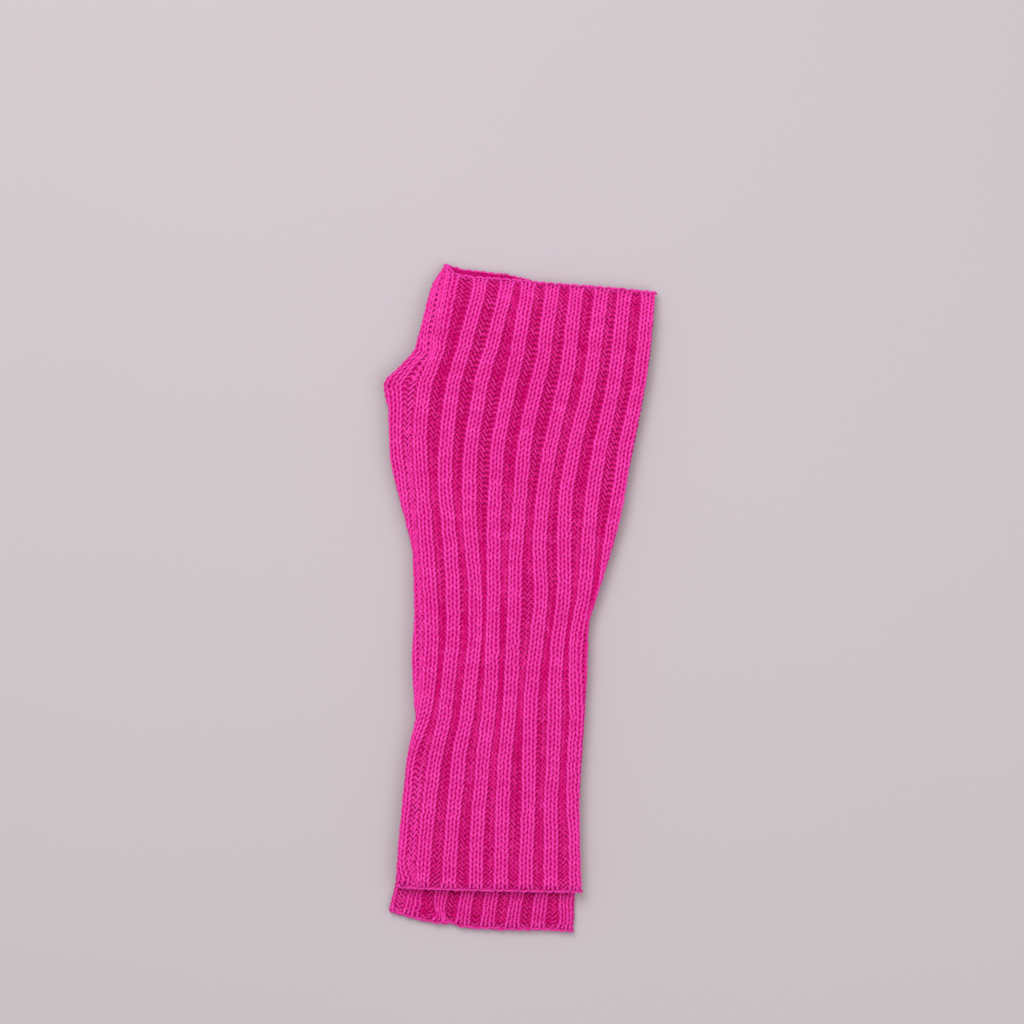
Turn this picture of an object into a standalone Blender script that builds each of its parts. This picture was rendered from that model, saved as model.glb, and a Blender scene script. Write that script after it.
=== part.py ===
"""A pair of two-by-two rib arm warmers, laid flat, one on the other.

Each warmer is a knitted tube pressed flat: a front, a back, a knitted band round each open end and
the two lips of a thumb opening in the left side seam. The finger ends point to +Y, the backs face
down, and the lower warmer lies on the surface at z = 0.
"""

import math
from typing import NamedTuple

import bmesh
import bpy

MM = 0.001

# Cloth, in millimetres
WALL = 2.6
RIB_RELIEF = 0.9
SEAM_GAP = 0.3
TUBE = 2 * WALL + SEAM_GAP
STACK_LIFT = TUBE + SEAM_GAP
RIBS_ACROSS = 10
END_BAND = 4.0
# The seam at a band is measured along the arm, so it is wider where the band runs at a slant
BAND_SEAM = 0.5
BAND_WALL = 2.3
MOUTH_GAP = 0.8
EDGE_ROLL = 3.0

# A band's section: its chamfer, the least share of wall at its tips, and the step between its faces
LIP_CHAMFER = 0.5
THINNEST_TIP = 0.35
BAND_STEP = 0.1
# A thumb lip rounds from its tip (share of the half height) to its top (share of the lip's width)
LIP_TIP = 0.45
LIP_TOP = 0.35
# How far a slit's cutter runs past the band that it opens
MOUTH_PAST = 2.0

# One pitch runs from the middle of a rib to the middle of the next: (fraction, how deep it lies)
RIB_PROFILE = ((0.27, 0.0), (0.37, 1.0), (0.63, 1.0), (0.73, 0.0))

# A side edge rolls over from its tip to the flat cloth: (distance in, fraction of the wall)
ROLL_PROFILE = ((0.0, 0.22), (0.6, 0.6), (1.6, 0.87), (EDGE_ROLL, 1.0))

# The finger end is held up as far as this course
HELD_COURSE = 2
# Shares of the end bows that are left at the next course in
FINGER_BOW_FADE = 0.4
ARM_BOW_FADE = 0.25
SMOOTH_UNDER = math.radians(35)


class Course(NamedTuple):
    """One knitted course of the flat tube, from its left side edge to its right one, in millimetres."""

    left: float
    left_up: float
    right: float
    right_up: float


class Warmer(NamedTuple):
    """One warmer: its courses from the finger end to the arm end, how its ends bow, and how it lies.

    Past the course where its support ends, it droops by a share of the distance.
    """

    name: str
    lift: float
    droop: float
    courses: tuple
    finger_bow_front: tuple
    finger_bow_back: tuple
    arm_bow: tuple
    thumb_courses: range
    thumb_lips: tuple


UPPER = Warmer(
    name="upper",
    lift=STACK_LIFT,
    droop=0.233,
    courses=(
        Course(-41.0, 181.3, 73.4, 167.3),
        Course(-48.0, 171.0, 72.7, 158.5),
        Course(-51.1, 160.5, 71.9, 149.0),
        Course(-55.3, 143.4, 70.5, 133.0),
        Course(-57.7, 134.2, 69.4, 124.5),
        Course(-65.3, 125.4, 68.0, 116.0),
        Course(-73.4, 117.0, 66.6, 107.5),
        Course(-72.3, 104.0, 64.3, 96.0),
        Course(-70.9, 75.0, 58.5, 67.5),
        Course(-65.5, 53.0, 55.0, 46.5),
        Course(-58.5, 26.0, 47.5, 20.5),
        Course(-57.7, -8.0, 37.0, -12.5),
        Course(-59.3, -34.0, 36.2, -38.0),
        Course(-57.1, -65.0, 34.6, -69.0),
        Course(-61.8, -86.0, 33.0, -90.0),
        Course(-65.3, -120.0, 31.7, -124.0),
        Course(-68.2, -155.0, 33.0, -159.6),
    ),
    finger_bow_front=(
        (0.0, 0.0), (0.08, -4.0), (0.15, -4.8), (0.33, -3.4), (0.55, -2.5), (0.75, -0.7), (1.0, 0.0),
    ),
    finger_bow_back=((0.0, 0.0), (0.33, -0.5), (0.55, -3.2), (0.8, -1.4), (1.0, 0.0)),
    arm_bow=((0.0, 0.0), (0.05, -2.0), (0.5, -1.3), (1.0, 0.0)),
    thumb_courses=range(3, 7),
    thumb_lips=(0.7, 2.8, 3.0, 0.7),
)

LOWER = Warmer(
    name="lower",
    lift=0.0,
    droop=0.0,
    courses=(
        Course(-47.5, 158.0, 70.5, 146.5),
        Course(-52.3, 140.0, 68.9, 129.5),
        Course(-55.5, 129.0, 67.3, 119.0),
        Course(-58.5, 119.0, 66.0, 109.5),
        Course(-62.5, 110.0, 64.5, 101.0),
        Course(-66.5, 102.0, 63.0, 93.5),
        Course(-69.0, 92.0, 61.0, 84.0),
        Course(-69.0, 73.0, 57.2, 65.5),
        Course(-64.0, 52.0, 53.5, 45.5),
        Course(-57.0, 25.0, 46.0, 19.5),
        Course(-56.0, -8.0, 35.3, -12.5),
        Course(-57.4, -34.0, 34.6, -38.5),
        Course(-55.6, -65.0, 33.0, -70.0),
        Course(-60.0, -86.0, 31.4, -92.0),
        Course(-63.5, -120.0, 30.2, -127.0),
        Course(-66.5, -149.0, 29.6, -158.0),
        Course(-70.4, -169.4, 28.5, -181.3),
    ),
    finger_bow_front=((0.0, 0.0), (0.3, -1.5), (0.7, -1.0), (1.0, 0.0)),
    finger_bow_back=((0.0, 0.0), (0.3, -0.8), (0.7, -0.5), (1.0, 0.0)),
    arm_bow=(
        (0.0, 0.0), (0.13, -1.9), (0.21, -3.5), (0.34, -3.1), (0.42, -4.9), (0.56, -4.7), (0.87, -1.4), (1.0, 0.0),
    ),
    thumb_courses=range(2, 6),
    thumb_lips=(0.7, 2.6, 2.6, 0.7),
)

PINKS = {
    "front": (0.86, 0.035, 0.34),
    "back": (0.80, 0.030, 0.30),
    "edge": (0.90, 0.050, 0.38),
}


def clear_scene():
    """Removes every object that the file opened with."""
    for item in list(bpy.data.objects):
        bpy.data.objects.remove(item, do_unlink=True)


def make_yarn(name, colour):
    """A matt pink knit material."""
    material = bpy.data.materials.new(name)
    material.use_nodes = True
    shader = material.node_tree.nodes["Principled BSDF"]
    shader.inputs["Base Color"].default_value = (*colour, 1.0)
    shader.inputs["Roughness"].default_value = 0.9
    shader.inputs["Metallic"].default_value = 0.0
    material.diffuse_color = (*colour, 1.0)
    return material


def between(table, at):
    """Reads a table of (position, value) rows at a position, along straight lines."""
    for (start, low), (end, high) in zip(table, table[1:]):
        if at <= end:
            return low + (high - low) * (at - start) / (end - start)
    return table[-1][1]


def mix(first, second, share):
    """The course that lies a share of the way from one course to the next."""
    return Course(*(a + (b - a) * share for a, b in zip(first, second)))


def inset_course(end, inner, inset):
    """The course that lies a given distance in from an open end."""
    run = abs(end.left_up + end.right_up - inner.left_up - inner.right_up) / 2
    return mix(end, inner, inset / run)


def band_stations(course):
    """Shares of a course's width at its two tips and at the middle of each rib."""
    width = course.right - course.left
    return [across / width for across in inner_columns(width)]


def bow_tables(warmer, side):
    """The bows of the finger end and of the arm end on one side, read at each station of a band."""
    finger = warmer.finger_bow_front if side > 0 else warmer.finger_bow_back
    ends = ((finger, warmer.courses[0]), (warmer.arm_bow, warmer.courses[-1]))
    return tuple([(at, between(table, at)) for at in band_stations(course)] for table, course in ends)


def panel_rows(warmer):
    """The courses of a front or back, each with its left inset and its shares of the two end bows."""
    courses = warmer.courses
    inset = END_BAND + BAND_SEAM
    rows = [(inset_course(courses[0], courses[1], inset), 0.0, 1.0, 0.0)]
    for index in range(1, len(courses) - 1):
        lip = 0.0
        if index in warmer.thumb_courses:
            lip = warmer.thumb_lips[index - warmer.thumb_courses.start] + SEAM_GAP
        finger_share = FINGER_BOW_FADE if index == 1 else 0.0
        arm_share = ARM_BOW_FADE if index == len(courses) - 2 else 0.0
        rows.append((courses[index], lip, finger_share, arm_share))
    rows.append((inset_course(courses[-1], courses[-2], inset), 0.0, 0.0, 1.0))
    return rows


def outer_columns(width):
    """(distance from the left edge, height over the inner face) across the ribbed outer face."""
    flat = width - 2 * EDGE_ROLL
    pitch = flat / (RIBS_ACROSS - 1)
    columns = [(inset, WALL * share) for inset, share in ROLL_PROFILE]
    for rib in range(RIBS_ACROSS - 1):
        for fraction, depth in RIB_PROFILE:
            columns.append((EDGE_ROLL + pitch * (rib + fraction), WALL - RIB_RELIEF * depth))
    columns += [(width - inset, WALL * share) for inset, share in reversed(ROLL_PROFILE)]
    return columns


def inner_columns(width):
    """Distances from the left edge across the smooth inner face: the two tips and each rib's middle."""
    pitch = (width - 2 * EDGE_ROLL) / (RIBS_ACROSS - 1)
    return [0.0] + [EDGE_ROLL + pitch * rib for rib in range(RIBS_ACROSS)] + [width]


def place(warmer, course, across, bow, height):
    """A point on a course, in metres, at a distance in from its left edge and a height over the underside."""
    share = across / (course.right - course.left)
    up = course.left_up + (course.right_up - course.left_up) * share + bow
    held = warmer.courses[HELD_COURSE]
    past = up - held.left_up - (held.right_up - held.left_up) * share
    level = warmer.lift - warmer.droop * max(past, 0.0) + height
    return ((course.left + across) * MM, up * MM, level * MM)


def cell_columns():
    """For each cell between two inner columns, the outer columns that stand over it."""
    roll = len(ROLL_PROFILE)
    step = len(RIB_PROFILE)
    last = roll + (RIBS_ACROSS - 1) * step
    bounds = [0, roll - 1]
    bounds += [roll - 1 + rib * step for rib in range(1, RIBS_ACROSS - 1)]
    bounds += [last, last + roll - 1]
    return [list(range(start, end + 1)) for start, end in zip(bounds, bounds[1:])]


def finish_mesh(name, shape, material):
    """Turns a closed bmesh into a named object with its normals facing out."""
    bmesh.ops.recalc_face_normals(shape, faces=shape.faces)
    mesh = bpy.data.meshes.new(name)
    shape.to_mesh(mesh)
    shape.free()
    mesh.shade_smooth()
    mesh.set_sharp_from_angle(angle=SMOOTH_UNDER)
    mesh.materials.append(material)
    item = bpy.data.objects.new(name, mesh)
    bpy.context.scene.collection.objects.link(item)
    return item


def make_panel(warmer, side, material):
    """A front (side 1) or back (side -1): a wall, ribbed on its outer face, rolled over at both edges."""
    finger_bow, arm_bow = bow_tables(warmer, side)
    middle = TUBE / 2
    shape = bmesh.new()
    outer, inner = [], []
    for course, lip, finger_share, arm_share in panel_rows(warmer):
        width = course.right - course.left - lip
        rows = []
        for columns in (outer_columns(width), [(across, 0.0) for across in inner_columns(width)]):
            row = []
            for across, height in columns:
                share = across / width
                bow = finger_share * between(finger_bow, share) + arm_share * between(arm_bow, share)
                level = middle + side * (SEAM_GAP / 2 + height)
                row.append(shape.verts.new(place(warmer, course, lip + across, bow, level)))
            rows.append(row)
        outer.append(rows[0])
        inner.append(rows[1])
    for faces in (outer, inner):
        for near, far in zip(faces, faces[1:]):
            for column in range(len(near) - 1):
                shape.faces.new((near[column], near[column + 1], far[column + 1], far[column]))
    for row in range(len(outer) - 1):
        for column in (0, -1):
            corners = (outer[row][column], inner[row][column], inner[row + 1][column], outer[row + 1][column])
            shape.faces.new(corners)
    for row in (0, -1):
        for cell, columns in enumerate(cell_columns()):
            over = [outer[row][column] for column in columns]
            shape.faces.new(over + [inner[row][cell + 1], inner[row][cell]])
    name = f"{warmer.name}_{'front' if side > 0 else 'back'}"
    return finish_mesh(name, shape, material)


def loft(name, sections, material):
    """A closed solid through sections that have the same number of points."""
    shape = bmesh.new()
    rings = [[shape.verts.new(point) for point in section] for section in sections]
    for near, far in zip(rings, rings[1:]):
        for index in range(len(near)):
            after = (index + 1) % len(near)
            shape.faces.new((near[index], near[after], far[after], far[index]))
    shape.faces.new(rings[0])
    shape.faces.new(rings[-1])
    return finish_mesh(name, shape, material)


def cut_mouth(band, cutter):
    """Opens the slit of a band with a hidden cutter."""
    cutter.hide_render = True
    cutter.display_type = "WIRE"
    cut = band.modifiers.new("mouth", "BOOLEAN")
    cut.operation = "DIFFERENCE"
    cut.object = cutter
    return band


def make_end_band(warmer, at_finger_end, material):
    """The knitted band round an open end: a flat ring whose slit is the mouth of the tube."""
    courses = warmer.courses if at_finger_end else warmer.courses[::-1]
    end = courses[0]
    inner = inset_course(end, courses[1], END_BAND)
    bows = [bow_tables(warmer, side)[0 if at_finger_end else 1] for side in (1, -1)]
    middle = TUBE / 2
    sections, cuts = [], []
    for share in band_stations(end):
        tip = min(share, 1 - share) * (end.right - end.left)
        roll = max(between(ROLL_PROFILE, min(tip, EDGE_ROLL)), THINNEST_TIP)
        half = SEAM_GAP / 2 + BAND_WALL * roll
        front, back = (between(bow, share) for bow in bows)
        corners = []
        for course, bow, level in (
            (inner, front, half),
            (end, front, half - LIP_CHAMFER),
            (end, front, BAND_STEP),
            (end, back, -BAND_STEP),
            (end, back, LIP_CHAMFER - half),
            (inner, back, -half),
            (inner, back, -BAND_STEP),
            (inner, front, BAND_STEP),
        ):
            width = course.right - course.left
            corners.append(place(warmer, course, share * width, bow, middle + level))
        sections.append(corners)
        if 0.0 < share < 1.0:
            bows_out = sorted((front, back), reverse=at_finger_end)
            cuts.append(mouth_section(warmer, end, inner, share, bows_out))
    kind = "finger" if at_finger_end else "arm"
    band = loft(f"{warmer.name}_{kind}_edge", sections, material)
    cutter = loft(f"{warmer.name}_{kind}_mouth", cuts, material)
    return cut_mouth(band, cutter)


def mouth_section(warmer, end, inner, share, bows):
    """The slit at one place along a band, run past the band's two edges."""
    outward = MOUTH_PAST if end.left_up > inner.left_up else -MOUTH_PAST
    middle = TUBE / 2
    corners = []
    for course, up, level in (
        (end, bows[0] + outward, MOUTH_GAP / 2),
        (end, bows[0] + outward, -MOUTH_GAP / 2),
        (inner, bows[1] - outward, -MOUTH_GAP / 2),
        (inner, bows[1] - outward, MOUTH_GAP / 2),
    ):
        width = course.right - course.left
        corners.append(place(warmer, course, share * width, up, middle + level))
    return corners


def make_thumb_edge(warmer, material):
    """The two knitted lips of the thumb opening, joined where the side seam closes again."""
    middle = TUBE / 2
    half = SEAM_GAP / 2 + BAND_WALL
    stations = [(warmer.courses[index], lip) for index, lip in zip(warmer.thumb_courses, warmer.thumb_lips)]
    sections, cuts = [], []
    for course, lip in stations:
        profile = [(lip, half), (lip * LIP_TOP, half - LIP_CHAMFER), (0.0, half * LIP_TIP)]
        profile += [(across, -level) for across, level in reversed(profile)]
        sections.append([place(warmer, course, across, 0.0, middle + level) for across, level in profile])
    for (near, near_lip), (far, far_lip) in zip(stations, stations[1:]):
        for share in (0.25, 0.75):
            course = mix(near, far, share)
            inner = near_lip + (far_lip - near_lip) * share + MOUTH_PAST
            slit = [(-MOUTH_PAST, 0.5), (-MOUTH_PAST, -0.5), (inner, -0.5), (inner, 0.5)]
            cuts.append([place(warmer, course, across, 0.0, middle + level * MOUTH_GAP) for across, level in slit])
    lips = loft(f"{warmer.name}_thumb_edge", sections, material)
    cutter = loft(f"{warmer.name}_thumb_mouth", cuts, material)
    return cut_mouth(lips, cutter)


def make_warmer(warmer):
    """One warmer: front, back, both end bands and the thumb opening's lips."""
    make_panel(warmer, 1, make_yarn(f"{warmer.name}_front_yarn", PINKS["front"]))
    make_panel(warmer, -1, make_yarn(f"{warmer.name}_back_yarn", PINKS["back"]))
    make_end_band(warmer, True, make_yarn(f"{warmer.name}_finger_yarn", PINKS["edge"]))
    make_end_band(warmer, False, make_yarn(f"{warmer.name}_arm_yarn", PINKS["edge"]))
    make_thumb_edge(warmer, make_yarn(f"{warmer.name}_thumb_yarn", PINKS["edge"]))


def main():
    """Builds the lower warmer, then the upper one on it."""
    clear_scene()
    for warmer in (LOWER, UPPER):
        make_warmer(warmer)


main()
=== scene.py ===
"""Looks of the pair of two-by-two rib arm warmers, laid flat, one on the other.

Each warmer is knitted here course by course: one strand of yarn for each course, looped into two knit
and two purl stitches in turn all round, and laid on the flattened tube that the solids describe. A thin
cloth of the same form stands behind the stitches. Lengths in the tables are millimetres.
"""

import logging
import math
from dataclasses import dataclass, field
from enum import Enum
from typing import Any, NamedTuple, Sequence

import bmesh
import bpy
import numpy as np
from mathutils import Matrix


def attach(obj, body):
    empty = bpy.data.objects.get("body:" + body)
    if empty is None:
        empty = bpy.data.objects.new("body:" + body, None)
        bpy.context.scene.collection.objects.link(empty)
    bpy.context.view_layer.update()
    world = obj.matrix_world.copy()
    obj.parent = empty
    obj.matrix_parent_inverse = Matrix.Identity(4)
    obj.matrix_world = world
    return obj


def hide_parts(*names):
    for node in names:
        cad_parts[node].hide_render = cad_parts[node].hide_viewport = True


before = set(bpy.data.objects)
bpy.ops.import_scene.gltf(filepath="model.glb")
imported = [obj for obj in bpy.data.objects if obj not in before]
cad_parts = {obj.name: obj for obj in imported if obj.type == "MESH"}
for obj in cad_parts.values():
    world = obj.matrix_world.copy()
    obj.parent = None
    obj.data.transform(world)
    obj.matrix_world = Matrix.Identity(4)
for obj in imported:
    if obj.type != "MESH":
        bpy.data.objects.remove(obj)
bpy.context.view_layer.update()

LOG = logging.getLogger("arm_warmers")
Array = np.ndarray
Spot = tuple[float, float]
Colour = tuple[float, float, float, float]
MM = 0.001
TINY = 1e-9

# The photograph: its frame, its scale and the pixel of the object's origin
FRAME_PIXELS = 1024
MM_PER_PIXEL = 0.544
ORIGIN_PIXEL = (520.0, 598.6)

# Two knit and two purl wales to a rib, eighteen ribs all round
WALES_PER_RIB = 4
RIBS_ROUND = 18
WALES_ROUND = WALES_PER_RIB * RIBS_ROUND
# The side seam follows the edge of the first rib, and the cloth stops just short of itself there
SEAM_WALE = -1
SEAM_GAP = 1e-4
# Rounds that bring a point onto its course where the cloth is tilted or bowed
SETTLE_ROUNDS = 3
# Seeds of the yarn's unevenness
UPPER_SEED = 3
LOWER_SEED = 7


class CourseRow(NamedTuple):
    """One course of the flat tube, from its left side edge to its right one."""

    left: float
    left_up: float
    right: float
    right_up: float


class RibRow(NamedTuple):
    """Where the middles of the ten front ribs lie at one height, unrolled past the side edges."""

    up: float
    a: float
    b: float
    c: float
    d: float
    e: float
    f: float
    g: float
    h: float
    i: float
    j: float


class BowPoint(NamedTuple):
    """How far an end's edge lies past its straight line, at a share of the way across."""

    across: float
    rise: float


class Crease(NamedTuple):
    """A soft trough, or a ridge where its depth is negative, along a line on one face."""

    start: Spot
    end: Spot
    depth: float
    width: float


class Bend(NamedTuple):
    """A spot where the cloth is dragged a little way, with the rows of stitches round it."""

    place: Spot
    shift: Spot
    reach: float


class Laid(NamedTuple):
    """Points of the knitting on the tube, which way the cloth faces there, and how proud they are."""

    points: Array
    facing: Array
    height: Array


class Face(Enum):
    """The side of the flat tube that a crease is on."""

    FRONT = 1.0
    BACK = -1.0


class End(Enum):
    """The two open ends of a warmer."""

    FINGER = 1.0
    ARM = -1.0


UPPER_ROWS = (
    CourseRow(-41.0, 181.3, 73.4, 167.3),
    CourseRow(-48.0, 171.0, 72.7, 158.5),
    CourseRow(-51.1, 160.5, 71.9, 149.0),
    CourseRow(-55.3, 143.4, 70.5, 133.0),
    CourseRow(-57.7, 134.2, 69.4, 124.5),
    CourseRow(-65.8, 125.4, 68.0, 116.0),
    CourseRow(-74.4, 117.0, 66.6, 107.5),
    CourseRow(-72.3, 104.0, 64.3, 96.0),
    CourseRow(-70.9, 75.0, 58.5, 67.5),
    CourseRow(-65.5, 53.0, 55.0, 46.5),
    CourseRow(-58.5, 26.0, 47.5, 20.5),
    CourseRow(-57.7, -8.0, 37.0, -12.5),
    CourseRow(-59.3, -34.0, 36.2, -38.0),
    CourseRow(-57.1, -65.0, 34.6, -69.0),
    CourseRow(-61.8, -86.0, 33.0, -90.0),
    CourseRow(-65.3, -120.0, 31.7, -124.0),
    CourseRow(-68.2, -155.0, 33.0, -159.6),
)

LOWER_ROWS = (
    CourseRow(-47.5, 158.0, 70.5, 146.5),
    CourseRow(-52.3, 140.0, 68.9, 129.5),
    CourseRow(-55.5, 129.0, 67.3, 119.0),
    CourseRow(-58.5, 119.0, 66.0, 109.5),
    CourseRow(-62.5, 110.0, 64.5, 101.0),
    CourseRow(-66.5, 102.0, 63.0, 93.5),
    CourseRow(-69.0, 92.0, 61.0, 84.0),
    CourseRow(-69.0, 73.0, 57.2, 65.5),
    CourseRow(-64.0, 52.0, 53.5, 45.5),
    CourseRow(-57.0, 25.0, 46.0, 19.5),
    CourseRow(-56.0, -8.0, 35.3, -12.5),
    CourseRow(-57.4, -34.0, 34.6, -38.5),
    CourseRow(-55.6, -65.0, 33.0, -70.0),
    CourseRow(-60.0, -86.0, 31.4, -92.0),
    CourseRow(-63.5, -120.0, 30.2, -127.0),
    CourseRow(-66.5, -149.0, 29.6, -158.0),
    CourseRow(-71.8, -169.4, 28.5, -181.3),
)

# Middles of the upper warmer's ribs; the lower one's run alike
RIB_ROWS = (
    RibRow(179.8, -44.6, -37.0, -20.1, -4.9, 4.9, 18.5, 31.0, 45.2, 57.1, 70.2),
    RibRow(162.4, -49.0, -40.3, -22.8, -8.2, 2.7, 16.9, 29.4, 43.5, 55.5, 68.5),
    RibRow(149.4, -51.7, -43.0, -27.2, -12.5, 0.5, 14.1, 27.7, 41.3, 53.9, 66.9),
    RibRow(136.3, -54.0, -44.1, -30.5, -15.2, -1.1, 13.1, 26.7, 39.7, 52.8, 65.8),
    RibRow(123.3, -60.5, -50.0, -34.3, -20.7, -3.8, 10.9, 24.5, 37.5, 51.1, 64.2),
    RibRow(110.2, -67.3, -53.3, -37.5, -22.3, -7.1, 6.5, 22.3, 35.4, 49.0, 62.0),
    RibRow(84.1, -68.0, -54.9, -40.3, -27.2, -12.5, 1.6, 16.3, 28.8, 43.0, 56.0),
    RibRow(58.0, -64.2, -52.8, -41.3, -28.8, -14.7, 0.0, 12.0, 23.4, 38.6, 52.8),
    RibRow(31.9, -62.6, -51.1, -37.5, -27.2, -14.7, -2.2, 9.8, 23.4, 36.4, 47.9),
    RibRow(5.8, -60.9, -49.0, -36.4, -23.9, -14.7, -3.8, 12.0, 23.9, 34.8, 45.2),
    RibRow(-20.3, -60.4, -47.3, -36.4, -23.9, -15.8, -4.4, 8.7, 20.7, 28.3, 42.4),
    RibRow(-46.5, -59.3, -49.5, -39.7, -27.2, -16.3, -5.4, 5.4, 18.0, 28.8, 41.9),
    RibRow(-59.5, -59.8, -51.1, -40.3, -28.3, -16.9, -6.0, 4.4, 18.5, 29.9, 43.0),
    RibRow(-72.6, -66.4, -55.5, -42.4, -31.0, -18.5, -7.6, 4.4, 18.0, 28.8, 42.4),
    RibRow(-85.6, -74.5, -61.5, -46.2, -34.3, -20.7, -9.2, 4.4, 17.4, 27.7, 41.3),
    RibRow(-111.7, -77.4, -63.1, -49.5, -35.9, -22.8, -10.3, 4.4, 16.3, 28.3, 41.9),
    RibRow(-137.8, -80.2, -65.8, -52.2, -38.1, -23.9, -10.9, 2.7, 15.8, 29.4, 43.0),
    RibRow(-164.0, -81.5, -66.9, -53.9, -39.2, -24.5, -10.9, 2.2, 15.8, 29.4, 43.5),
)
FRONT_RIBS = len(RIB_ROWS[0]) - 1


def smooth_step(low: float, high: float, value: Array) -> Array:
    """Rises softly from 0 at low to 1 at high."""
    share = np.clip((value - low) / (high - low), 0.0, 1.0)
    return share * share * (3.0 - 2.0 * share)


def mixed(low: float, high: float, share: Array) -> Array:
    """Goes evenly from low to high as the share goes from 0 to 1."""
    return low + (high - low) * share


def unit(vectors: Array) -> Array:
    """Vectors scaled to length one."""
    return vectors / np.maximum(np.linalg.norm(vectors, axis=-1, keepdims=True), TINY)


def from_rib(wales: Array) -> Array:
    """Wales from the middle of the nearest rib, less than nothing on its left."""
    return wales - WALES_PER_RIB * np.round(wales / WALES_PER_RIB)


def channel_number(wales: Array) -> Array:
    """Which channel, counted round the tube from the first rib, each wale is in."""
    return np.mod(np.floor(wales / WALES_PER_RIB), RIBS_ROUND)


def put(name: str, data: bpy.types.ID) -> bpy.types.Object:
    """Adds an object to the scene.

    Args:
        name: The object's name.
        data: Its mesh, light or camera.

    Returns:
        The object.
    """
    made = bpy.data.objects.new(name, data)
    bpy.context.scene.collection.objects.link(made)
    return made


class Curve:
    """A value along a warmer, read from a few places and softened at its corners."""

    STEP = 1.0
    REACH = 260.0
    END_GAP = 0.001
    KERNEL_REACH = 3

    def __init__(self, places: Sequence[float], values: Sequence[float], softness: float) -> None:
        """Samples the curve.

        Args:
            places: Heights up the arm where the value is known.
            values: The value at each of them.
            softness: How far each corner is rounded.
        """
        order = np.argsort(places)
        known, levels = np.array(places)[order], np.array(values)[order]
        self.ups = np.arange(-self.REACH, self.REACH + self.STEP, self.STEP)
        raw = np.interp(self.ups, known, levels)
        for end, near in ((0, 1), (-1, -2)):
            slope = (levels[end] - levels[near]) / (known[end] - known[near])
            past = self.ups < known[0] if end == 0 else self.ups > known[-1]
            raw[past] = levels[end] + slope * (self.ups[past] - known[end])
        reach = int(self.KERNEL_REACH * softness / self.STEP) + 1
        kernel = np.exp(-0.5 * (np.arange(-reach, reach + 1) * self.STEP / softness) ** 2)
        padded = np.pad(raw, reach, mode="edge")
        self.levels = np.convolve(padded, kernel / kernel.sum(), mode="valid")

    def __call__(self, up: Array) -> Array:
        """The value at each height."""
        return np.interp(up, self.ups, self.levels)


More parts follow.
